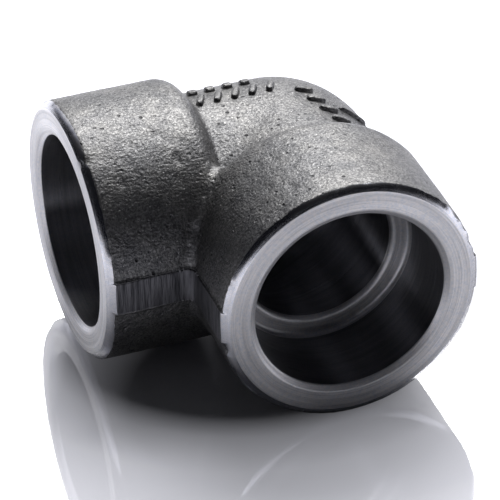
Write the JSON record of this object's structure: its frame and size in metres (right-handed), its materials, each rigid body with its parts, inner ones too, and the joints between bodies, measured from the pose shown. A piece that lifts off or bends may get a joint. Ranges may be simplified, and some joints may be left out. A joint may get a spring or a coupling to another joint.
{
  "type": "socket weld elbow",
  "caption": "Right-angle forged steel pipe elbow with thick collars, deep sockets that the pipes slide into for welding, and a smaller rounded heel between them.",
  "frame": {"origin": "crossing of the two socket axes, in the plane where the forging dies met", "axes": "-X out of socket_a along its axis, -Y out of socket_b along its axis, +Z square to both; the part lies on the undersides of its collars at z = -23.1 mm"},
  "size_m": [0.0613, 0.0613, 0.0462],
  "materials": {
    "forged_steel": "rough dark forging scale outside, bright turned mouths and sockets"
  },
  "bodies": {
    "root": {"elbow_body": "forged_steel"}
  },
  "joints": []
}
